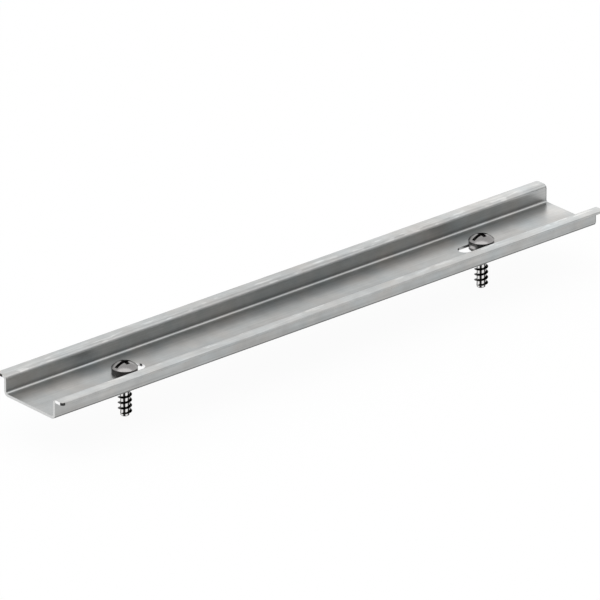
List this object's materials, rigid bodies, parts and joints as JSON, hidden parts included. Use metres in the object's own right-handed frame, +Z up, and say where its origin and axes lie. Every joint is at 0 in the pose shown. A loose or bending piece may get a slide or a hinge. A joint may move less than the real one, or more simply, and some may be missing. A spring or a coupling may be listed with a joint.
{
  "type": "din rail",
  "caption": "Top-hat steel rail with turned-out lips for clip-on switchgear, with dome-head screws seated in its slots.",
  "frame": {"origin": "on the level plane under the blunt ends of the screws, below the middle of the rail", "axes": "+X along the rail, +Y across it towards the back lip, +Z up, the way the channel opens"},
  "size_m": [0.25, 0.035, 0.023],
  "materials": {
    "rail": "galvanised, passivated, smooth rolled",
    "screws": "bright plated, glossy"
  },
  "bodies": {
    "root": {"rail": "rail", "screw_left": "screws", "screw_right": "screws"}
  },
  "joints": []
}
